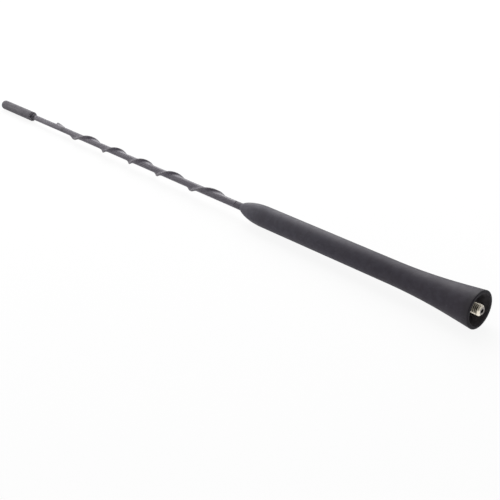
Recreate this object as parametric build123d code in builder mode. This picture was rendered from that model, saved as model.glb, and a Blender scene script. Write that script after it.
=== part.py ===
# Car roof antenna mast: a short flexible whip that screws into a base on the roof.
# Millimetres. Z runs along the mast, from the seat on the base (Z = 0) up to the tip.
import os
from math import atan, cos, pi, radians, sin, sqrt, tan

from build123d import *

# Clearance between pieces that seat in one another
fit_gap = 0.02

# Threaded foot, turned from one bar
stud_d = 5.0
stud_reach = 1.0
stud_chamfer = 0.8
stud_hole_d = 1.8
stud_hole_depth = 2.6
stud_hole_point = 0.4
shoulder_d = 6.4
flange_d = 11.0
flange_thickness = 2.0
hub_d = 6.8
hub_length = 4.0
spigot_d = 3.6
spigot_length = 10.0

# Rubber boot
rim_d = 17.4
rim_chamfer = 0.4
rim_land = 0.75
mouth_chamfer = 0.35
recess_depth = 8.0
recess_draft = 0.5
recess_floor_thickness = 1.5
flare_angle = 6.42
flare_straight = 11.0
boot_tube_d = 11.06
boot_shoulder_z = 128.0
dome_length = 17.4
dome_nose_angle = 28.0
lip_d = 3.9
lip_length = 4.2

# Loading coil on its former
former_collar_d = 8.4
former_lower_length = 12.0
former_upper_length = 16.0
former_barrel_d = 5.8
coil_d = 6.6
coil_length = 40.0

# Ferrule that holds the whip
ferrule_d = 5.2
ferrule_length = 32.0
ferrule_seat_depth = 14.0
ferrule_floor = 4.0
ferrule_stop_d = 6.8
ferrule_stop_length = 2.0

# Whip: a spring-steel core in a moulded jacket with a spiral wind fin
core_d = 2.2
jacket_d = 3.5
fin_height = 1.42
fin_crest_width = 0.9
fin_root_angle = 110.0
fin_root_depth = 0.2
fin_start_z = 158.5
fin_start_fade = 9.0
fin_end_z = 330.6
fin_end_height = 0.75
fin_taper_length = 24.0
fin_taper_end_z = 320.0
fin_mid_z = 241.2
fin_mid_pitch = 26.9
fin_pitch_spread = 101.8
fin_mid_azimuth = 171.0
fin_stations_per_turn = 8

# Tip cap
seat_to_tip = 400.0
cap_d = 6.25
cap_length = 39.5
cap_end_round = 1.6
cap_mouth_d = 4.4
cap_mouth_depth = 0.8
cap_mouth_chamfer = 0.2
cap_roof = 3.0
core_to_roof = 1.0
gate_mark_d = 0.8
gate_mark_depth = 0.25
gate_mark_from_tip = 7.0
gate_mark_azimuth = -99.6

# Heights of the stack inside the boot
flange_z = recess_depth + recess_floor_thickness
hub_z = flange_z + flange_thickness
former_z = hub_z + hub_length
coil_z = former_z + former_lower_length
collar_z = coil_z + coil_length
former_top_z = collar_z + former_upper_length
ferrule_z = former_top_z - ferrule_seat_depth
ferrule_top_z = ferrule_z + ferrule_length
core_z = ferrule_z + ferrule_floor

# Half widths of the recess
mouth_r = rim_d / 2 - rim_chamfer - rim_land - mouth_chamfer
recess_floor_r = mouth_r - recess_draft

# Heights of the neck and the cap
lip_r = lip_d / 2
boot_tube_r = boot_tube_d / 2
neck_z = boot_shoulder_z + dome_length
lip_z = neck_z + lip_length
cap_z = seat_to_tip - cap_length
cap_mouth_z = cap_z + cap_mouth_depth
cap_roof_z = seat_to_tip - cap_roof
core_end_z = cap_roof_z - core_to_roof


def round_corner(before, corner, after):
    # One cubic curve that rounds off a corner, tangent to both of its sides.
    ease = 0.55
    start = Vector(before)
    end = Vector(after)
    return Bezier(start, start + (Vector(corner) - start) * ease, end + (Vector(corner) - end) * ease, end)


def fin_turn(z):
    # Turns of the spiral counted from its middle; the pitch opens out towards both ends.
    return fin_pitch_spread / fin_mid_pitch * atan((z - fin_mid_z) / fin_pitch_spread)


def fin_turn_height(turn):
    return fin_mid_z + fin_pitch_spread * tan(turn * fin_mid_pitch / fin_pitch_spread)


def fin_crest_radius(z):
    # The crest climbs out of the jacket at the start and drops to a lower height before the cut end.
    climb = max(min((z - fin_start_z) / fin_start_fade, 1), 0)
    drop = max(min(1 - (fin_taper_end_z - z) / fin_taper_length, 1), 0)
    height = fin_height - (fin_height - fin_end_height) * drop**2 * (3 - 2 * drop)
    sunk = fin_root_depth / 2
    return jacket_d / 2 - sunk + (height + sunk) * climb * sqrt(3 - 2 * climb)


def fin_section(turn):
    # Straight flanks from a root inside the jacket to a narrow flat crest.
    z = fin_turn_height(turn)
    azimuth = radians(fin_mid_azimuth) - 2 * pi * turn
    crest_x = fin_crest_radius(z)
    crest_y = fin_crest_width / 2
    root_r = jacket_d / 2 - fin_root_depth
    root_x = root_r * cos(radians(fin_root_angle / 2))
    root_y = root_r * sin(radians(fin_root_angle / 2))
    plane = Plane((0, 0, z), x_dir=(cos(azimuth), sin(azimuth), 0), z_dir=(0, 0, 1))
    with BuildSketch(plane) as section:
        with BuildLine():
            Polyline((root_x, root_y), (crest_x, crest_y), (crest_x, -crest_y), (root_x, -root_y), close=True)
        make_face()
    return section.sketch


with BuildPart() as threaded_foot:
    with BuildSketch(Plane.XZ):
        with BuildLine():
            Polyline(
                (0, stud_hole_depth - stud_reach),
                (stud_hole_d / 2, stud_hole_depth - stud_hole_point - stud_reach),
                (stud_hole_d / 2, -stud_reach),
                (stud_d / 2 - stud_chamfer, -stud_reach),
                (stud_d / 2, stud_chamfer - stud_reach),
                (stud_d / 2, recess_depth),
                (shoulder_d / 2, recess_depth),
                (shoulder_d / 2, flange_z),
                (flange_d / 2, flange_z),
                (flange_d / 2, hub_z),
                (hub_d / 2, hub_z),
                (hub_d / 2, former_z),
                (spigot_d / 2, former_z),
                (spigot_d / 2, former_z + spigot_length),
                (0, former_z + spigot_length),
                close=True,
            )
        make_face()
    revolve(axis=Axis.Z)
threaded_foot.part.label = "threaded_foot"


with BuildPart() as rubber_boot:
    with BuildSketch(Plane.XZ):
        with BuildLine():
            flare_slope = tan(radians(flare_angle))
            flare_start = (rim_d / 2 - rim_chamfer * flare_slope, rim_chamfer)
            flare_end = (rim_d / 2 - flare_straight * flare_slope, flare_straight)
            bend_r = (flare_end[0] - boot_tube_r) / (1 - cos(radians(flare_angle)))
            Line((rim_d / 2 - rim_chamfer, 0), flare_start)
            flare = Line(flare_start, flare_end)
            bend = JernArc(flare @ 1, flare % 1, bend_r, -flare_angle)
            tube = Line(bend @ 1, (boot_tube_r, boot_shoulder_z))
            # The dome is one cubic curve that leaves the tube straight and ends on the lip as a blunt nose.
            nose_pull = 0.14 * dome_length
            dome = Bezier(
                tube @ 1,
                (boot_tube_r, boot_shoulder_z + 0.5 * dome_length),
                (lip_r + nose_pull * tan(radians(dome_nose_angle)), neck_z - nose_pull),
                (lip_r, neck_z),
            )
            Polyline(
                dome @ 1,
                (lip_r, lip_z),
                (jacket_d / 2 + fit_gap, lip_z),
                (jacket_d / 2 + fit_gap, ferrule_top_z),
                (ferrule_d / 2 + fit_gap, ferrule_top_z),
                (ferrule_d / 2 + fit_gap, former_top_z + ferrule_stop_length),
                (ferrule_stop_d / 2 + fit_gap, former_top_z + ferrule_stop_length),
                (ferrule_stop_d / 2 + fit_gap, former_top_z),
                (former_collar_d / 2 + fit_gap, former_top_z),
                (former_collar_d / 2 + fit_gap, collar_z),
                (coil_d / 2 + fit_gap, collar_z),
                (coil_d / 2 + fit_gap, coil_z),
                (former_collar_d / 2 + fit_gap, coil_z),
                (former_collar_d / 2 + fit_gap, former_z),
                (hub_d / 2 + fit_gap, former_z),
                (hub_d / 2 + fit_gap, hub_z),
                (flange_d / 2 + fit_gap, hub_z),
                (flange_d / 2 + fit_gap, flange_z),
                (shoulder_d / 2 + fit_gap, flange_z),
                (shoulder_d / 2 + fit_gap, recess_depth),
                (recess_floor_r, recess_depth),
                (mouth_r, mouth_chamfer),
                (mouth_r + mouth_chamfer, 0),
                (rim_d / 2 - rim_chamfer, 0),
            )
        make_face()
    revolve(axis=Axis.Z)
rubber_boot.part.label = "rubber_boot"


with BuildPart() as coil_former:
    with BuildSketch(Plane.XZ):
        with BuildLine():
            Polyline(
                (0, former_z + spigot_length),
                (spigot_d / 2 + fit_gap, former_z + spigot_length),
                (spigot_d / 2 + fit_gap, former_z),
                (former_collar_d / 2, former_z),
                (former_collar_d / 2, coil_z),
                (former_barrel_d / 2, coil_z),
                (former_barrel_d / 2, collar_z),
                (former_collar_d / 2, collar_z),
                (former_collar_d / 2, former_top_z),
                (ferrule_d / 2 + fit_gap, former_top_z),
                (ferrule_d / 2 + fit_gap, ferrule_z),
                (0, ferrule_z),
                close=True,
            )
        make_face()
    revolve(axis=Axis.Z)
coil_former.part.label = "coil_former"


# The closely wound turns of fine enamelled wire are one solid.
with BuildPart() as loading_coil:
    with BuildSketch(Plane.XY.offset(coil_z)):
        Circle(coil_d / 2)
        Circle(former_barrel_d / 2 + fit_gap, mode=Mode.SUBTRACT)
    extrude(amount=coil_length)
loading_coil.part.label = "loading_coil"


with BuildPart() as whip_ferrule:
    with BuildSketch(Plane.XZ):
        with BuildLine():
            Polyline(
                (0, ferrule_z),
                (ferrule_d / 2, ferrule_z),
                (ferrule_d / 2, former_top_z),
                (ferrule_stop_d / 2, former_top_z),
                (ferrule_stop_d / 2, former_top_z + ferrule_stop_length),
                (ferrule_d / 2, former_top_z + ferrule_stop_length),
                (ferrule_d / 2, ferrule_top_z),
                (core_d / 2 + fit_gap, ferrule_top_z),
                (core_d / 2 + fit_gap, core_z),
                (0, core_z),
                close=True,
            )
        make_face()
    revolve(axis=Axis.Z)
whip_ferrule.part.label = "whip_ferrule"


with BuildPart() as whip_core:
    with BuildSketch(Plane.XY.offset(core_z)):
        Circle(core_d / 2)
    extrude(amount=core_end_z - core_z)
whip_core.part.label = "whip_core"


with BuildPart() as whip_jacket:
    with BuildSketch(Plane.XY.offset(ferrule_top_z)):
        Circle(jacket_d / 2)
    extrude(amount=cap_roof_z - ferrule_top_z)
    first_turn = fin_turn(fin_start_z)
    last_turn = fin_turn(fin_end_z)
    station_count = round((last_turn - first_turn) * fin_stations_per_turn)
    turn_step = (last_turn - first_turn) / station_count
    loft([fin_section(first_turn + turn_step * station) for station in range(station_count + 1)])
    with BuildSketch(Plane.XY.offset(ferrule_top_z)):
        Circle(core_d / 2 + fit_gap)
    extrude(amount=core_end_z - ferrule_top_z, mode=Mode.SUBTRACT)
whip_jacket.part.label = "whip_jacket"


with BuildPart() as tip_cap:
    with BuildSketch(Plane.XZ):
        with BuildLine():
            Polyline(
                (jacket_d / 2 + fit_gap, cap_roof_z),
                (jacket_d / 2 + fit_gap, cap_mouth_z),
                (cap_mouth_d / 2, cap_mouth_z),
                (cap_mouth_d / 2, cap_z),
                (cap_d / 2, cap_z),
                (cap_d / 2, seat_to_tip - cap_end_round),
            )
            round_corner(
                (cap_d / 2, seat_to_tip - cap_end_round),
                (cap_d / 2, seat_to_tip),
                (cap_d / 2 - cap_end_round, seat_to_tip),
            )
            Polyline(
                (cap_d / 2 - cap_end_round, seat_to_tip),
                (0, seat_to_tip),
                (0, cap_roof_z),
                (jacket_d / 2 + fit_gap, cap_roof_z),
            )
        make_face()
    revolve(axis=Axis.Z)
    mouth_edges = tip_cap.edges().filter_by(GeomType.CIRCLE).group_by(Axis.Z)[0]
    chamfer(mouth_edges, length=cap_mouth_chamfer)
    gate_mark_x = cap_d / 2 * cos(radians(gate_mark_azimuth))
    gate_mark_y = cap_d / 2 * sin(radians(gate_mark_azimuth))
    gate_mark_plane = Plane(
        (gate_mark_x, gate_mark_y, seat_to_tip - gate_mark_from_tip), z_dir=(gate_mark_x, gate_mark_y, 0)
    )
    with BuildSketch(gate_mark_plane):
        Circle(gate_mark_d / 2)
    extrude(amount=gate_mark_depth, both=True, mode=Mode.SUBTRACT)
tip_cap.part.label = "tip_cap"


os.makedirs("parts", exist_ok=True)
pieces = [
    threaded_foot,
    rubber_boot,
    coil_former,
    loading_coil,
    whip_ferrule,
    whip_core,
    whip_jacket,
    tip_cap,
]
for piece in pieces:
    export_step(piece.part, f"parts/{piece.part.label}.step")
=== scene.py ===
from math import radians

import bpy
import numpy as np
from mathutils import Matrix, Vector


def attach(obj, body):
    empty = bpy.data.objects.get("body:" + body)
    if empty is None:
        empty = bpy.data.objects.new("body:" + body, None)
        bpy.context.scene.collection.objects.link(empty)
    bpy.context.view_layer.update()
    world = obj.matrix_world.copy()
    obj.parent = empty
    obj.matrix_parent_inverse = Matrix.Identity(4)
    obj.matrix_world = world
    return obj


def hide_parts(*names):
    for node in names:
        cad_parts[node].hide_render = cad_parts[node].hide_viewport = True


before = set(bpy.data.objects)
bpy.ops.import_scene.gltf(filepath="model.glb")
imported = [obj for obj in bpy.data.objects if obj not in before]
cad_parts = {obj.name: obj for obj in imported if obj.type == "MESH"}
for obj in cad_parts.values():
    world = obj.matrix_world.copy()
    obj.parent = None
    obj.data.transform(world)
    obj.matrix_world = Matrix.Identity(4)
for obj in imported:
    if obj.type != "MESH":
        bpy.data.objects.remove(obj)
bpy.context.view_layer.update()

mm = 0.001  # pieces and the table are sized in millimetres; lights, flag and camera stand in metres
fullTurn = 2 * np.pi
sharpEdge = radians(38)
white = (1.0, 1.0, 1.0, 1.0)
sheetCorners = np.array([(-1, -1), (1, -1), (1, 1), (-1, 1)])


class Wire:
    # One output socket; arithmetic on it adds Math nodes to its tree.
    def __init__(self, tree, socket=None):
        self.tree = tree
        self.socket = socket

    def add(self, kind, settings, inputs, out=0):
        # Any node: its type, its settings, then the values or links of its sockets.
        made = self.tree.nodes.new(kind)
        for key, value in settings.items():
            setattr(made, key, value)
        for key, value in inputs.items():
            if isinstance(value, Wire):
                self.tree.links.new(value.socket, made.inputs[key])
            else:
                made.inputs[key].default_value = value
        return Wire(self.tree, made.outputs[out] if len(made.outputs) else None)

    def maths(self, operation, first, second=0.0):
        return self.add("ShaderNodeMath", {"operation": operation}, {0: first, 1: second})

    def __add__(self, other):
        return self.maths("ADD", self, other)

    def __radd__(self, other):
        return self.maths("ADD", other, self)

    def __sub__(self, other):
        return self.maths("SUBTRACT", self, other)

    def __rsub__(self, other):
        return self.maths("SUBTRACT", other, self)

    def __mul__(self, other):
        return self.maths("MULTIPLY", self, other)

    def __rmul__(self, other):
        return self.maths("MULTIPLY", other, self)

    def larger(self, other):
        return self.maths("MAXIMUM", self, other)

    def axis(self, name):
        return self.add("ShaderNodeSeparateXYZ", {}, {0: self}, name)

    def radius(self):
        # Distance from the mast's axis.
        x = self.axis("X")
        y = self.axis("Y")
        return self.maths("SQRT", x * x + y * y)

    def ease(self, limits, unit=1.0):
        # 0 below the first limit, 1 above the second and a smooth step between them.
        low, high = limits
        return self.add(
            "ShaderNodeMapRange",
            {"interpolation_type": "SMOOTHSTEP"},
            {"Value": self, "From Min": low * unit, "From Max": high * unit},
        )

    def tint(self, low, high):
        # One colour where the value is 0, the other where it is 1.
        ends = [colour if isinstance(colour, Wire) else (*colour, 1) for colour in (low, high)]
        return self.add("ShaderNodeMix", {"data_type": "RGBA"}, {0: self, 6: ends[0], 7: ends[1]}, 2)

    def noise(self, scale, detail, stretch=(1, 1, 1)):
        # Noise on object coordinates; scale is in patches per metre.
        spot = self.add("ShaderNodeMapping", {}, {"Vector": self, "Scale": stretch})
        return self.add("ShaderNodeTexNoise", {}, {"Vector": spot, "Scale": scale, "Detail": detail})

    def bump(self, depth, under=None):
        # The value, 0 to 1, becomes a relief of that depth in millimetres, laid over another relief.
        sockets = {"Strength": 1.0, "Distance": depth * mm, "Height": self}
        if under is not None:
            sockets["Normal"] = under
        return self.add("ShaderNodeBump", {}, sockets)


def emptyMaterial(name):
    material = bpy.data.materials.new(name)
    material.use_nodes = True
    material.node_tree.nodes.clear()
    return material, Wire(material.node_tree)


def startFinish(name):
    # A new material and the object coordinates in it.
    material, start = emptyMaterial(name)
    return material, start.add("ShaderNodeTexCoord", {}, {}, "Object")


def endFinish(spot, sockets):
    shader = spot.add("ShaderNodeBsdfPrincipled", {}, sockets)
    spot.add("ShaderNodeOutputMaterial", {}, {"Surface": shader})


def linkObject(name, mesh):
    made = bpy.data.objects.new(name, mesh)
    bpy.context.scene.collection.objects.link(made)
    return made


def gridMesh(name, points, startPole=None, endPole=None, loop=False):
    # Quads between neighbouring rows and columns; the columns close on themselves. A pole point closes
    # an end row with a fan, and a loop joins the last row to the first.
    rows, columns = points.shape[:2]
    index = np.arange(rows * columns).reshape(rows, columns)
    beside = np.roll(index, -1, axis=1)
    quads = np.stack([index, beside, np.roll(beside, -1, axis=0), np.roll(index, -1, axis=0)], axis=-1)
    faces = quads[: rows if loop else rows - 1].reshape(-1, 4).tolist()
    places = points.reshape(-1, 3)
    if startPole is not None:
        pole = np.full(columns, len(places))
        faces += np.stack([pole, beside[0], index[0]], axis=-1).tolist()
        places = np.vstack([places, startPole])
    if endPole is not None:
        pole = np.full(columns, len(places))
        faces += np.stack([index[-1], beside[-1], pole], axis=-1).tolist()
        places = np.vstack([places, endPole])
    mesh = bpy.data.meshes.new(name)
    mesh.from_pydata(places * mm, [], faces)
    mesh.shade_smooth()
    mesh.set_sharp_from_angle(angle=sharpEdge)
    return linkObject(name, mesh)


def putPiece(piece, material, node):
    piece.data.materials.append(material)
    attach(piece, "root")
    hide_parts(node)
    print(piece.name, "has", len(piece.data.polygons), "faces")


def evenAngles(count):
    # Equal steps round a full turn.
    return np.arange(count) * fullTurn / count


def turned(radius, height, angle):
    # A point of a turned surface: radius times the cosine and sine of its angle, at its height.
    return np.stack(np.broadcast_arrays(radius * np.cos(angle), radius * np.sin(angle), height), axis=-1)


def lathe(profile, angle):
    # A profile of radius and height, turned round the axis.
    return turned(profile[:, :1], profile[:, 1:], angle)


def arc(centre, radius, start, end, count):
    # Points of an arc: the centre plus the radius times the cosine and sine of the angle in degrees.
    angle = np.radians(np.linspace(start, end, count))
    return np.stack([centre[0] + radius * np.cos(angle), centre[1] + radius * np.sin(angle)], axis=-1)


def cubic(ends, pulls, count):
    # Points of a cubic curve: both ends and both pulled points, weighted by the cubic blend of the share.
    share = np.linspace(0, 1, count)[:, None]
    start, end = np.array(ends)
    pulled = np.array(ends) + np.array(pulls)
    near = (1 - share) ** 3 * start + 3 * share * (1 - share) ** 2 * pulled[0]
    return near + 3 * share**2 * (1 - share) * pulled[1] + share**3 * end


def smoothStep(share):
    # 0 up to 0, 1 from 1 on, and three squares less two cubes of the share between them.
    share = np.clip(share, 0, 1)
    return share**2 * (3 - 2 * share)


def softMin(first, second, width):
    # The lower of two values, with their crossing rounded off over the given width.
    share = np.clip(0.5 + (second - first) / (2 * width), 0, 1)
    return second + (first - second) * share - width * share * (1 - share)


def softMax(first, second, width):
    # The higher of two values, with their crossing filled in the same way.
    return -softMin(-first, -second, width)


boot = {
    "rimRadius": 8.7,
    "rimRound": 0.5,
    "mouthRadius": 7.2,
    "mouthRound": 0.35,
    "recessDepth": 8.0,
    "recessFloorRadius": 6.7,
    "floorRound": 0.5,
    "flareAngle": 6.42,
    "flareStart": 1.2,
    "flareLength": 11.0,
    "tubeRadius": 5.53,
    "shoulderHeight": 128.0,
    "domeLength": 17.4,
    "domeNoseAngle": 34.0,
    "nosePull": 0.14,  # both pulls of the dome's curve are shares of its length
    "shoulderPull": 0.5,
    "lipRadius": 1.95,
    "lipStart": 0.15,
    "lipLength": 4.2,
    "lipRound": 0.1,
    # the steps of the hollow that hugs the pieces inside, radius and height
    "hollow": [
        (1.77, 101.5), (2.62, 101.5), (2.62, 85.5), (3.42, 85.5), (3.42, 83.5), (4.22, 83.5), (4.22, 67.5),
        (3.32, 67.5), (3.32, 27.5), (4.22, 27.5), (4.22, 15.5), (3.42, 15.5), (3.42, 11.5), (5.52, 11.5),
        (5.52, 9.5), (3.22, 9.5), (3.22, 8.0),
    ],
    "around": 144,
    "points": {
        "land": 5, "rim": 12, "flare": 8, "bend": 26, "tube": 40, "dome": 36, "lip": 8, "lipEdge": 5,
        "floorEdge": 6, "wall": 9, "mouthEdge": 6,
    },
    "dark": (0.0235, 0.0175, 0.0280),
    "pale": (0.0585, 0.0550, 0.0730),
    "palestTone": (0.20, 0.188, 0.198),
    "rimShadeTone": (0.008, 0.0065, 0.009),
    "lip": (0.090, 0.081, 0.099),
    "roughness": 0.62,
    "patchRoughness": 0.1,
    "grainSmoothness": 0.06,
    "specular": 0.32,
    # noise in patches per metre, its levels, and relief in millimetres
    "patchScale": 95,
    "patchLevels": (0.3, 0.7),
    "patchDepth": 0.06,
    "grainScale": 2600,
    "grainDepth": 0.025,
    "speckScale": 900,
    "speckLevels": (0.66, 0.74),
    "speckDust": 0.055,
    "blotchScale": 330,
    "blotchLevels": (0.36, 0.64),
    # how much each adds to the paler tone; the tube and dome shares are a painted lighting gradient
    "patchPale": 0.2,
    "blotchPale": 0.22,
    "tubePaintedLight": 0.5,
    "domePaintedLight": 0.3,
    # heights and radii where the finish changes, and by how much
    "tubeLightRise": (0.0, 150.0),
    "domeLightRise": (124.0, 143.0),
    "paleLip": (144.5, 147.0),
    "recessWall": (7.0, 7.4),
    "recessTop": (7.8, 8.2),
    "recessLighter": 0.6,
    # painted shade darkens the rim's lowest millimetres
    "rimTop": (0.0, 6.0),
    "rimShade": 0.65,
}


def bootSurface(spec):
    # A profile turned round the axis: up the rounded rim, the straight flare, the arc that bends it into the
    # tube, the dome as a cubic curve, and the lip; then down the steps of the hollow and the recess.
    count = spec["points"]
    flare = radians(spec["flareAngle"])
    slope = np.tan(flare)
    rim, tube, lip = spec["rimRadius"], spec["tubeRadius"], spec["lipRadius"]
    mouth, floor, depth = spec["mouthRadius"], spec["recessFloorRadius"], spec["recessDepth"]
    rimRound, lipRound = spec["rimRound"], spec["lipRound"]
    mouthRound, floorRound = spec["mouthRound"], spec["floorRound"]
    rimCentre = rim - rimRound * (1 + slope / 2)
    flareStart, flareTop = spec["flareStart"], spec["flareLength"]
    flareEnd = rim - flareTop * slope
    bend = (flareEnd - tube) / (1 - np.cos(flare))
    bendTop = flareTop + bend * np.sin(flare)
    shoulder = spec["shoulderHeight"]
    neck = shoulder + spec["domeLength"]
    nosePull = spec["nosePull"] * spec["domeLength"]
    shoulderPull = spec["shoulderPull"] * spec["domeLength"]
    domePulls = [(0, shoulderPull), (nosePull * np.tan(radians(spec["domeNoseAngle"])), -nosePull)]
    lipTop = neck + spec["lipLength"]
    whipBore = spec["hollow"][0][0]
    profile = np.vstack([
        np.linspace((mouth + mouthRound, 0), (rimCentre, 0), count["land"])[:-1],
        arc((rimCentre, rimRound), rimRound, -90, spec["flareAngle"], count["rim"]),
        np.linspace((rim - flareStart * slope, flareStart), (flareEnd, flareTop), count["flare"]),
        arc((tube + bend, bendTop), bend, 180 + spec["flareAngle"], 180, count["bend"])[1:],
        np.linspace((tube, bendTop), (tube, shoulder), count["tube"])[1:],
        cubic([(tube, shoulder), (lip, neck)], domePulls, count["dome"])[1:],
        np.linspace((lip, neck + spec["lipStart"]), (lip, lipTop - lipRound), count["lip"]),
        arc((lip - lipRound, lipTop - lipRound), lipRound, 0, 90, count["lipEdge"])[1:],
        [(whipBore, lipTop)],
        spec["hollow"],
        [(floor - floorRound, depth)],
        arc((floor - floorRound, depth - floorRound), floorRound, 90, 0, count["floorEdge"])[1:],
        np.linspace((floor, depth - floorRound), (mouth, mouthRound), count["wall"])[1:],
        arc((mouth + mouthRound, mouthRound), mouthRound, 180, 270, count["mouthEdge"])[1:-1],
    ])
    return lathe(profile, evenAngles(spec["around"]))


def rubberFinish(spec):
    # Charcoal rubber in random tones with a painted lighting gradient paler towards the dome, palest on the
    # lip, painted shade on the rim, dust specks and a lighter recess.
    material, spot = startFinish("charcoalRubber")
    z = spot.axis("Z")
    patches = spot.noise(spec["patchScale"], detail=3)
    grain = spot.noise(spec["grainScale"], detail=3)
    specks = spot.noise(spec["speckScale"], detail=1).ease(spec["speckLevels"])
    blotches = spot.noise(spec["blotchScale"], detail=2).ease(spec["blotchLevels"])
    shade = patches.ease(spec["patchLevels"])
    toneAndPaintedLight = spec["patchPale"] * shade + spec["blotchPale"] * blotches
    # the tube and dome shares paint a lighting gradient, paler towards the dome
    toneAndPaintedLight = toneAndPaintedLight + spec["tubePaintedLight"] * z.ease(spec["tubeLightRise"], mm)
    toneAndPaintedLight = toneAndPaintedLight + spec["domePaintedLight"] * z.ease(spec["domeLightRise"], mm)
    # painted shade darkens the rim
    rimShaded = spec["rimShade"] * (1 - z.ease(spec["rimTop"], mm))
    # the recess is made lighter inside, and dust specks are scattered everywhere
    recess = (1 - spot.radius().ease(spec["recessWall"], mm)) * (1 - z.ease(spec["recessTop"], mm))
    lighterMask = (specks * spec["speckDust"]).larger(recess * spec["recessLighter"])
    colour = toneAndPaintedLight.tint(spec["dark"], spec["pale"])
    colour = z.ease(spec["paleLip"], mm).tint(colour, spec["lip"])
    colour = rimShaded.tint(colour, spec["rimShadeTone"])
    endFinish(spot, {
        "Base Color": lighterMask.tint(colour, spec["palestTone"]),
        "Roughness": spec["roughness"] + spec["patchRoughness"] * shade - spec["grainSmoothness"] * grain,
        "Specular IOR Level": spec["specular"],
        "Normal": grain.bump(spec["grainDepth"], patches.bump(spec["patchDepth"])),
    })
    return material


bootPiece = gridMesh("rubberBoot", bootSurface(boot), loop=True)
putPiece(bootPiece, rubberFinish(boot), "rubber_boot")


foot = {
    "majorRadius": 2.5,
    "threadDepth": 0.49,
    "pitch": 0.8,
    "crestShare": 0.13,
    "flankShare": 0.36,
    "flankStraight": 0.55,
    "threadEnd": 6.9,
    "neckLength": 0.3,
    "endHeight": -1.0,
    "chamfer": 0.8,
    "chamferRound": 0.04,
    "holeRadius": 0.9,
    "holeDepth": 2.6,
    "holePoint": 0.4,
    "holeRound": 0.08,
    "faceStart": 0.2,  # the end face's rows keep off the hole's round and off the chamfer
    "faceMargin": 0.06,
    # shoulder, flange, hub and spigot above the thread, radius and height
    "body": [
        (3.2, 8.0), (3.2, 9.5), (5.5, 9.5), (5.5, 11.5), (3.4, 11.5), (3.4, 15.5), (1.8, 15.5), (1.8, 25.5),
    ],
    "around": 72,
    "rowsPerPitch": 22,
    "points": {"hole": 8, "edge": 5, "face": 6},
    "plate": (0.94, 0.87, 0.74),
    "darkTone": (0.075, 0.066, 0.030),
    "paintedDarkReflection": (0.11, 0.10, 0.11),
    "paintedHoleShade": (0.01, 0.01, 0.012),
    "roughness": 0.11,
    "mottleRoughness": 0.16,
    "dirtAndShadeRoughness": 0.3,
    "dullRoughness": 0.15,
    # noise in patches per metre, relief in millimetres, and how dirt and dullness vary with the mottling
    "mottleScale": 700,
    "turningScale": 14000,
    "facingScale": 9000,
    "lineDepth": 0.012,
    "leastDirtAndShade": 0.65,
    "leastDullAndDark": 0.6,
    "mottleShare": 0.5,
    # heights and radii where the finish changes, and y, whose low side is up in the photo
    "endFace": (-0.99, -0.96),
    "holeEdge": (0.9, 0.96),
    "darkRootRadius": (2.3, 2.56),
    "darkRootBottom": (-0.3, 0.1),
    # dirt and painted shade leave the thread's top side and most of its bottom side bright, as lit
    "litTop": (-2.4, -1.6),
    "litBottom": (0.4, 1.3),
    "litBottomShare": 0.85,
}


def footSurface(spec):
    # The stud's radius is its outer radius less the thread depth times how far the point is past the crest,
    # counted in turns from height over pitch less angle; the chamfer cone cuts the end, and a neck ends the
    # thread. Below are the drilled hole and the end face, above the turned body.
    count = spec["points"]
    angle = evenAngles(spec["around"])
    low, high = spec["endHeight"], spec["body"][0][1]
    rows = int((high - low) / spec["pitch"] * spec["rowsPerPitch"])
    height = np.linspace(low, high, rows)[:, None]
    turn = (height / spec["pitch"] - angle / fullTurn) % 1.0
    past = np.clip((np.abs(turn - 0.5) - spec["crestShare"] / 2) / spec["flankShare"], 0, 1)
    cut = spec["flankStraight"] * past + (1 - spec["flankStraight"]) * smoothStep(past)
    neck = smoothStep((height - spec["threadEnd"]) / spec["neckLength"])
    radius = spec["majorRadius"] - spec["threadDepth"] * np.maximum(cut, neck)
    faceRadius = spec["majorRadius"] - spec["chamfer"]
    radius = softMin(radius, faceRadius + height - low, spec["chamferRound"])
    hole, edge = spec["holeRadius"], spec["holeRound"]
    end = np.vstack([
        np.linspace((hole, low + spec["holeDepth"] - spec["holePoint"]), (hole, low + edge), count["hole"]),
        arc((hole + edge, low + edge), edge, 180, 270, count["edge"])[1:],
        np.linspace((hole + spec["faceStart"], low), (faceRadius - spec["faceMargin"], low), count["face"]),
    ])
    thread = turned(radius, height, angle)
    body = lathe(np.array(spec["body"]), angle)
    return np.concatenate([lathe(end, angle), thread, body])


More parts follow.
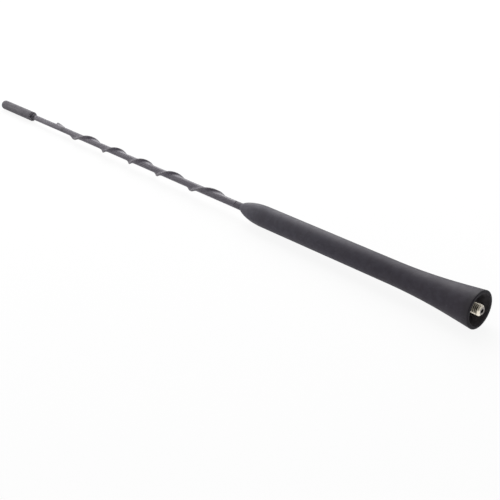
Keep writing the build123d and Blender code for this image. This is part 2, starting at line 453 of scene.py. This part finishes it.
def platedFinish(spec):
    # Warm plated metal with fine turning lines, root dirt and painted shade on the thread's front, a dull
    # end face darkened as a painted dark reflection and painted shade in the hole.
    material, spot = startFinish("platedBrass")
    y = spot.axis("Y")
    z = spot.axis("Z")
    radius = spot.radius()
    mottle = spot.noise(spec["mottleScale"], detail=3)
    onFace = 1 - z.ease(spec["endFace"], mm)
    along = spot.noise(spec["turningScale"], detail=1, stretch=(0, 0, 1))
    across = spot.add("ShaderNodeCombineXYZ", {}, {"X": radius}).noise(spec["facingScale"], detail=1)
    lines = along * (1 - onFace) + across * onFace
    # the thread's front takes root dirt and painted shade; its lit top and bottom sides are left bright
    shadedFront = y.ease(spec["litTop"], mm) * (1 - spec["litBottomShare"] * y.ease(spec["litBottom"], mm))
    root = (1 - radius.ease(spec["darkRootRadius"], mm)) * z.ease(spec["darkRootBottom"], mm) * shadedFront
    dirtAndShade = root * (spec["leastDirtAndShade"] + spec["mottleShare"] * mottle)
    # the end face is dull, and darkened as a painted dark reflection
    dullAndPaintedDark = onFace * (spec["leastDullAndDark"] + spec["mottleShare"] * mottle)
    # painted shade makes the drilled hole near-black
    hole = 1 - radius.ease(spec["holeEdge"], mm)
    colour = dirtAndShade.tint(spec["plate"], spec["darkTone"])
    colour = dullAndPaintedDark.tint(colour, spec["paintedDarkReflection"])
    roughness = spec["roughness"] + spec["mottleRoughness"] * mottle
    roughness = roughness + spec["dirtAndShadeRoughness"] * dirtAndShade + spec["dullRoughness"] * dullAndPaintedDark
    endFinish(spot, {
        "Base Color": hole.tint(colour, spec["paintedHoleShade"]),
        "Metallic": 1.0,
        "Roughness": roughness,
        "Normal": lines.bump(spec["lineDepth"]),
    })
    return material


footTop = foot["body"][-1][1]
holeEnd = foot["endHeight"] + foot["holeDepth"]
footPiece = gridMesh("threadedFoot", footSurface(foot), (0, 0, holeEnd), (0, 0, footTop))
putPiece(footPiece, platedFinish(foot), "threaded_foot")


whip = {
    "radius": 1.75,
    "bottom": 101.5,
    "top": 397.0,
    "boreRadius": 1.12,
    "boreTop": 396.0,
    # above the boot's lip the jacket steps out to its root radius, which eases off with height
    "rootRadius": 1.93,
    "rootBottom": 150.0,
    "rootTop": 300.0,
    "rootEdge": 0.12,
    "finHeight": 1.42,
    "finCrestWidth": 0.9,
    "finRootAngle": 110.0,
    "finRootDepth": 0.2,
    "crestRound": 0.3,
    "rootRound": 0.45,
    "finStart": 158.0,
    "finStartFade": 7.6,
    "finEnd": 330.8,
    "finEndHeight": 1.25,
    "finEndRound": 0.5,
    "finTaperLength": 24.0,
    "finTaperEnd": 330.0,
    "finMiddle": 241.2,
    "finMiddlePitch": 26.9,
    "finMiddleAzimuth": 171.0,
    "finPitchSpread": 101.8,
    "finLag": 44.0,  # degrees by which the fin's end falls behind its even turning
    "finLagStart": 300.0,
    "rowStep": 0.42,
    "plainRows": 60,
    "edgeRows": 6,
    "endRows": 11,
    "finColumns": 33,
    "finSpan": 66.0,
    "finCrowding": 0.45,
    "backColumns": 38,
    "widestFlank": 1.5,  # limits in radians that keep the flanks and the crest finite
    "widestCrest": 1.2,
    "dark": (0.092, 0.081, 0.103),
    "pale": (0.102, 0.091, 0.114),
    "worn": (0.150, 0.142, 0.154),
    "darkTone": (0.019, 0.017, 0.023),
    "roughness": 0.46,
    "patchRoughness": 0.1,
    "capShadowRoughness": 0.3,
    "specular": 0.4,
    # noise in patches per metre, its levels, and relief in millimetres
    "patchScale": 240,
    "patchStretch": (1, 1, 0.35),
    "patchLevels": (0.32, 0.68),
    "patchDepth": 0.03,
    "grainScale": 3600,
    "grainDepth": 0.01,
    "wearScale": 900,
    "leastWear": 0.25,
    "wearShare": 0.6,
    # heights and radii where the finish changes, and by how much
    "wornCrest": (2.6, 3.1),
    "capShadowStart": (355.3, 357.0),
    "capShadowEnd": (357.2, 360.0),
    "capShadowEndShare": 0.78,
    "darkBandStart": (316.5, 319.8),
    "darkBandEnd": (320.5, 324.0),
    "darkBandShare": 0.55,
    "finFoot": (1.85, 2.1),
}


def whipSurface(spec):
    # A grid that turns with the fin: the columns are angles from the fin's middle, closer together on the
    # fin, and each row is turned by the fin's own angle at its height, minus a full turn for every turn
    # counted as spread over pitch times the arc tangent of height over spread, plus the lag near its end.
    # The radius is the larger of the round jacket and the fin, and the fin is the smaller of two straight
    # flanks and a crest, with rounded crossings.
    start, end = spec["finStart"], spec["finEnd"]
    rootBottom = spec["rootBottom"]
    height = np.unique(np.round(np.concatenate([
        np.linspace(spec["bottom"], start, spec["plainRows"]),
        np.linspace(rootBottom, rootBottom + spec["rootEdge"], spec["edgeRows"]),
        np.arange(start, end, spec["rowStep"]),
        np.linspace(end - spec["finEndRound"], end, spec["endRows"]),
        np.linspace(end, spec["top"], spec["plainRows"]),
    ]), 3))[:, None]
    onFin = np.linspace(-1, 1, spec["finColumns"])
    crowded = onFin * (spec["finCrowding"] + (1 - spec["finCrowding"]) * onFin**2)
    behind = np.linspace(spec["finSpan"], 360 - spec["finSpan"], spec["backColumns"])[1:-1]
    fromFin = np.radians(np.concatenate([spec["finSpan"] * crowded, behind]))

    clamped = np.clip(height, start, end)
    spread = spec["finPitchSpread"]
    turns = spread / spec["finMiddlePitch"] * np.arctan((clamped - spec["finMiddle"]) / spread)
    nearEnd = (clamped - spec["finLagStart"]) / (end - spec["finLagStart"])
    lag = radians(spec["finLag"]) * smoothStep(nearEnd)
    angle = radians(spec["finMiddleAzimuth"]) - fullTurn * turns + lag + fromFin

    climb = np.clip((height - start) / spec["finStartFade"], 0, 1)
    drop = smoothStep(1 - (spec["finTaperEnd"] - height) / spec["finTaperLength"])
    tall = spec["finHeight"] - (spec["finHeight"] - spec["finEndHeight"]) * drop
    share = climb * np.sqrt(3 - 2 * climb) * smoothStep((end - height) / spec["finEndRound"])
    sunk = spec["rootRound"]
    crest = spec["radius"] - sunk + (tall + sunk) * share
    finRoot = spec["radius"] - spec["finRootDepth"]
    half = radians(spec["finRootAngle"] / 2)
    rootX, rootY = finRoot * np.cos(half), finRoot * np.sin(half)
    tilt = np.arctan2(crest - rootX, rootY - spec["finCrestWidth"] / 2)
    reach = rootX * np.cos(tilt) + rootY * np.sin(tilt)
    side = np.abs((fromFin + np.pi) % fullTurn - np.pi)
    flank = reach / np.cos(np.minimum(np.abs(side - tilt), spec["widestFlank"]))
    ahead = crest / np.cos(np.minimum(side, spec["widestCrest"]))
    fin = np.where(side < tilt, softMin(flank, ahead, spec["crestRound"]), 0)

    above = height - rootBottom
    easing = smoothStep(1 - above / (spec["rootTop"] - rootBottom))
    thicker = smoothStep(above / spec["rootEdge"]) * easing
    shaft = spec["radius"] + (spec["rootRadius"] - spec["radius"]) * thicker
    radius = np.where(share > 0, softMax(shaft, fin, spec["rootRound"]), shaft)
    bore = np.array([(spec["boreRadius"], spec["boreTop"]), (spec["boreRadius"], spec["bottom"])])
    return np.concatenate([lathe(bore, angle[0]), turned(radius, height, angle)])


def jacketFinish(spec):
    # Satin plastic, rubbed a little on the fin's crest, with painted shadow of the cap on the stem beside it
    # and one darker band below the fin's end.
    material, spot = startFinish("satinJacket")
    z = spot.axis("Z")
    radius = spot.radius()
    patches = spot.noise(spec["patchScale"], detail=3, stretch=spec["patchStretch"])
    grain = spot.noise(spec["grainScale"], detail=2)
    shade = patches.ease(spec["patchLevels"])
    rubbed = spec["leastWear"] + spec["wearShare"] * spot.noise(spec["wearScale"], detail=2)
    worn = radius.ease(spec["wornCrest"], mm) * rubbed
    # painted shadow of the cap on the stem, full a little below the cap and eased off next to it
    capShadow = z.ease(spec["capShadowStart"], mm) * (1 - spec["capShadowEndShare"] * z.ease(spec["capShadowEnd"], mm))
    # a darker band on the stem below the fin's end
    darkBand = spec["darkBandShare"] * z.ease(spec["darkBandStart"], mm) * (1 - z.ease(spec["darkBandEnd"], mm))
    whipDarkMask = capShadow.larger(darkBand * (1 - radius.ease(spec["finFoot"], mm)))
    colour = worn.tint(shade.tint(spec["dark"], spec["pale"]), spec["worn"])
    endFinish(spot, {
        "Base Color": whipDarkMask.tint(colour, spec["darkTone"]),
        "Roughness": spec["roughness"] + spec["patchRoughness"] * shade + spec["capShadowRoughness"] * capShadow,
        "Specular IOR Level": spec["specular"],
        "Normal": grain.bump(spec["grainDepth"], patches.bump(spec["patchDepth"])),
    })
    return material


whipPiece = gridMesh("whipJacket", whipSurface(whip), (0, 0, whip["boreTop"]), (0, 0, whip["top"]))
putPiece(whipPiece, jacketFinish(whip), "whip_jacket")


cap = {
    "radius": 3.125,
    "bottom": 360.5,
    "top": 400.0,
    "endRound": 1.6,
    "endRing": 0.7,
    "mouthRadius": 2.2,
    "mouthDepth": 0.3,
    "mouthRound": 0.2,
    "boreRadius": 1.77,
    "roof": 397.0,
    "markHeight": 393.0,
    "markAzimuth": -99.6,
    "markRadius": 0.4,
    "markDepth": 0.25,
    "markSlope": 0.45,
    "markReach": 1.3,  # the closer rows and columns reach this many mark radii out
    "markRows": 21,
    "sideRows": 30,
    "around": 96,
    "points": {"mouth": 6, "end": 16},
    "dark": (0.066, 0.059, 0.072),
    "pale": (0.077, 0.069, 0.084),
    "palestTone": (0.20, 0.19, 0.21),
    "roughness": 0.55,
    "patchRoughness": 0.1,
    "specular": 0.36,
    # noise in patches per metre, its levels, and relief in millimetres
    "patchScale": 180,
    "patchLevels": (0.32, 0.68),
    "patchDepth": 0.04,
    "grainScale": 3000,
    "grainDepth": 0.04,
    # height and radius where the painted light in the mouth ends
    "paintedLightTop": (361.1, 361.4),
    "paintedLightEdge": (2.9, 3.1),
}


def capSurface(spec):
    # A profile turned round the axis: down the bore, out over the mouth, up the outside and over the rounded
    # end. Rows and columns are closer round the moulding mark, where the surface sinks by a smooth dish.
    count = spec["points"]
    radius, bottom, top = spec["radius"], spec["bottom"], spec["top"]
    mouth, mouthRound, endRound = spec["mouthRadius"], spec["mouthRound"], spec["endRound"]
    mouthFloor = bottom + spec["mouthDepth"]
    roundMark = spec["markRadius"] * np.linspace(-spec["markReach"], spec["markReach"], spec["markRows"])
    even = np.linspace(bottom + mouthRound, top - endRound, spec["sideRows"])
    side = np.unique(np.round(np.concatenate([even, spec["markHeight"] + roundMark]), 3))
    profile = np.vstack([
        [(spec["boreRadius"], spec["roof"]), (spec["boreRadius"], mouthFloor), (mouth, mouthFloor)],
        arc((mouth + mouthRound, bottom + mouthRound), mouthRound, 180, 270, count["mouth"]),
        arc((radius - mouthRound, bottom + mouthRound), mouthRound, -90, 0, count["mouth"])[:-1],
        np.stack([np.full(len(side), radius), side], axis=-1),
        arc((radius - endRound, top - endRound), endRound, 0, 90, count["end"])[1:],
        [(spec["endRing"], top)],
    ])
    markAngle = radians(spec["markAzimuth"])
    markAngles = (markAngle + roundMark / radius) % fullTurn
    angle = np.unique(np.round(np.concatenate([evenAngles(spec["around"]), markAngles]), 4))
    across = ((angle - markAngle + np.pi) % fullTurn - np.pi) * radius
    away = np.hypot(across, profile[:, 1:] - spec["markHeight"]) / spec["markRadius"]
    onSide = np.isclose(profile[:, :1], radius)
    dish = spec["markDepth"] * smoothStep((1 - away) / spec["markSlope"]) * onSide
    return turned(profile[:, :1] - dish, profile[:, 1:], angle)


def capFinish(spec):
    # Matte plastic in two close tones, with painted light in the shaded mouth.
    material, spot = startFinish("matteCap")
    patches = spot.noise(spec["patchScale"], detail=3)
    grain = spot.noise(spec["grainScale"], detail=3)
    shade = patches.ease(spec["patchLevels"])
    # painted light lifts the occluded mouth and end face
    lighterMask = (1 - spot.axis("Z").ease(spec["paintedLightTop"], mm)) * (1 - spot.radius().ease(spec["paintedLightEdge"], mm))
    endFinish(spot, {
        "Base Color": lighterMask.tint(shade.tint(spec["dark"], spec["pale"]), spec["palestTone"]),
        "Roughness": spec["roughness"] + spec["patchRoughness"] * shade,
        "Specular IOR Level": spec["specular"],
        "Normal": grain.bump(spec["grainDepth"], patches.bump(spec["patchDepth"])),
    })
    return material


capPiece = gridMesh("tipCap", capSurface(cap), (0, 0, cap["roof"]), (0, 0, cap["top"]))
putPiece(capPiece, capFinish(cap), "tip_cap")


hidden = {
    "patchScale": 300,
    "patchLevels": (0.3, 0.7),
    "patchRoughness": 0.12,
    "grainScale": 2400,
    "grainStretch": (1, 1, 0.1),
    "grainDepth": 0.01,
    "tones": {
        "coil_former": {"dark": (0.46, 0.44, 0.39), "pale": (0.60, 0.58, 0.52), "metal": 0.0, "rough": 0.5},
        "loading_coil": {"dark": (0.46, 0.17, 0.07), "pale": (0.70, 0.33, 0.16), "metal": 1.0, "rough": 0.3},
        "whip_ferrule": {"dark": (0.58, 0.44, 0.20), "pale": (0.78, 0.63, 0.33), "metal": 1.0, "rough": 0.3},
        "whip_core": {"dark": (0.40, 0.40, 0.40), "pale": (0.56, 0.56, 0.56), "metal": 1.0, "rough": 0.34},
    },
    "wire": {"loading_coil": 0.4},  # thickness of the wire whose turns show as a relief
}


def hiddenFinish(name, spec):
    # Pieces inside the boot: two tones in patches, fine lines along them, and on the coil turns of wire,
    # whose relief is the absolute value of a sine of height.
    material, spot = startFinish(name + "Finish")
    tones = spec["tones"][name]
    patches = spot.noise(spec["patchScale"], detail=3).ease(spec["patchLevels"])
    grain = spot.noise(spec["grainScale"], detail=2, stretch=spec["grainStretch"])
    relief = grain.bump(spec["grainDepth"])
    if name in spec["wire"]:
        wire = spec["wire"][name]
        wave = spot.maths("SINE", spot.axis("Z") * (np.pi / (wire * mm)))
        relief = spot.maths("ABSOLUTE", wave).bump(wire / 2, relief)
    endFinish(spot, {
        "Base Color": patches.tint(tones["dark"], tones["pale"]),
        "Metallic": tones["metal"],
        "Roughness": tones["rough"] + spec["patchRoughness"] * patches,
        "Normal": relief,
    })
    return material


for name in hidden["tones"]:
    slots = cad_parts[name].data.materials
    slots.clear()
    slots.append(hiddenFinish(name, hidden))
print("hidden pieces have their finishes")


stage = {
    # the table touches the rim and the cap, so it leans with the mast: y at the seat and at the tip
    "tableAtSeat": 8.8,
    "tableAtTip": 3.25,
    "tableSize": 3000.0,
    "tableTone": (0.97, 0.97, 0.97, 1),
    "tableWhite": 0.9,
    "tableGloss": 1.0,
    "ambient": 0.34,
    "roomGloss": 0.5,
    "keyPlace": (0.55, -0.70, 0.75),
    "keyAim": (0.0, 0.0, 0.17),
    "keySize": 1.1,
    "keyPower": 16.0,
    "fillPlace": (-0.35, -0.25, 1.30),
    "fillAim": (0.0, 0.0, 0.25),
    "fillSize": 0.8,
    "fillPower": 6.5,
    "flagPlace": (-0.16, -0.11, -0.30),
    "flagAim": (0.0, 0.0, 0.05),
    "flagSize": 0.54,
    "flagTone": (0.02, 0.02, 0.02, 1),
}


def seenWhite(start, shown=1.0, mirrored=1.0):
    # How white it looks to the camera and through glass, and in a reflection; 0 for light on the object.
    path = ["Is Camera Ray", "Is Transmission Ray", "Is Glossy Ray"]
    camera, through, glossy = [start.add("ShaderNodeLightPath", {}, {}, name) for name in path]
    return (shown * camera.larger(through)).larger(mirrored * glossy)


def facing(place, aim, upwards):
    # A placing whose -Z axis points at the aim and whose Y axis leans to the upward direction.
    back = (Vector(place) - Vector(aim)).normalized()
    right = Vector(upwards).cross(back).normalized()
    axes = Matrix((right, back.cross(right), back)).transposed().to_4x4()
    return Matrix.Translation(place) @ axes


def makeSheet(name, places, materialName):
    # One flat face of the stage, and the start of its material's nodes.
    mesh = bpy.data.meshes.new(name)
    mesh.from_pydata(places, [], [(0, 1, 2, 3)])
    material, start = emptyMaterial(materialName)
    mesh.materials.append(material)
    linkObject(name, mesh)
    return start


def makeTable(spec):
    # A flat sheet through two heights under the mast; only its face towards the mast is there.
    lean = (spec["tableAtTip"] - spec["tableAtSeat"]) / cap["top"]
    across, along = (sheetCorners * spec["tableSize"]).T
    places = np.stack([across, spec["tableAtSeat"] + lean * along, along], axis=-1) * mm
    start = makeSheet("table", places, "paleTable")
    matte = start.add("ShaderNodeBsdfDiffuse", {}, {"Color": spec["tableTone"]})
    glow = start.add("ShaderNodeEmission", {}, {"Color": white, "Strength": 1.0})
    clear = start.add("ShaderNodeBsdfTransparent", {}, {"Color": white})
    whiteness = seenWhite(start, spec["tableWhite"], spec["tableGloss"])
    front = start.add("ShaderNodeMixShader", {}, {0: whiteness, 1: matte, 2: glow})
    behind = start.add("ShaderNodeNewGeometry", {}, {}, "Backfacing")
    sheet = start.add("ShaderNodeMixShader", {}, {0: behind, 1: front, 2: clear})
    start.add("ShaderNodeOutputMaterial", {}, {"Surface": sheet})


def makeFlag(spec):
    # A flat dark sheet beside the camera, as a photographer hangs one; the camera and reflections see
    # through it.
    corners = np.pad(sheetCorners * spec["flagSize"] / 2, ((0, 0), (0, 1)))  # the third coordinate is 0
    placing = np.array(facing(spec["flagPlace"], spec["flagAim"], (0, -1, 0)))
    start = makeSheet("darkFlag", corners @ placing[:3, :3].T + placing[:3, 3], "darkFlag")
    cloth = start.add("ShaderNodeBsdfDiffuse", {}, {"Color": spec["flagTone"]})
    clear = start.add("ShaderNodeBsdfTransparent", {}, {"Color": white})
    sheet = start.add("ShaderNodeMixShader", {}, {0: seenWhite(start), 1: cloth, 2: clear})
    start.add("ShaderNodeOutputMaterial", {}, {"Surface": sheet})


def makeWorld(spec):
    # White to the camera, and dimmer in reflections and as light on the object.
    world = bpy.data.worlds.new("whiteRoom")
    bpy.context.scene.world = world
    world.use_nodes = True
    world.node_tree.nodes.clear()
    start = Wire(world.node_tree)
    ambient = spec["ambient"]
    seen = seenWhite(start, 1.0, (spec["roomGloss"] - ambient) / (1 - ambient))
    strength = ambient + (1 - ambient) * seen
    glow = start.add("ShaderNodeBackground", {}, {"Color": white, "Strength": strength})
    start.add("ShaderNodeOutputWorld", {}, {"Surface": glow})


def makeLight(name, place, aim, size, power):
    light = bpy.data.lights.new(name, "AREA")
    light.size = size
    light.energy = power
    lamp = linkObject(name, light)
    lamp.matrix_world = facing(place, aim, (0, 0, 1))


view = {
    "place": (-0.2766, -0.1755, -0.1657),
    "aim": (-0.00424, 0.01947, 0.13481),
    "lens": 62.64,
    "sensor": 36.0,
    "nearest": 0.01,
    "farthest": 20.0,
}


def makeCamera(spec):
    lens = bpy.data.cameras.new("photoCamera")
    lens.sensor_width = spec["sensor"]
    lens.lens = spec["lens"]
    lens.clip_start = spec["nearest"]
    lens.clip_end = spec["farthest"]
    camera = linkObject("photoCamera", lens)
    camera.matrix_world = facing(spec["place"], spec["aim"], (0, -1, 0))
    bpy.context.scene.camera = camera


makeTable(stage)
makeFlag(stage)
makeWorld(stage)
makeLight("topSoftbox", stage["keyPlace"], stage["keyAim"], stage["keySize"], stage["keyPower"])
makeLight("tipWindow", stage["fillPlace"], stage["fillAim"], stage["fillSize"], stage["fillPower"])
makeCamera(view)
bpy.context.scene.view_settings.view_transform = "Standard"
print("stage, light and camera are set")
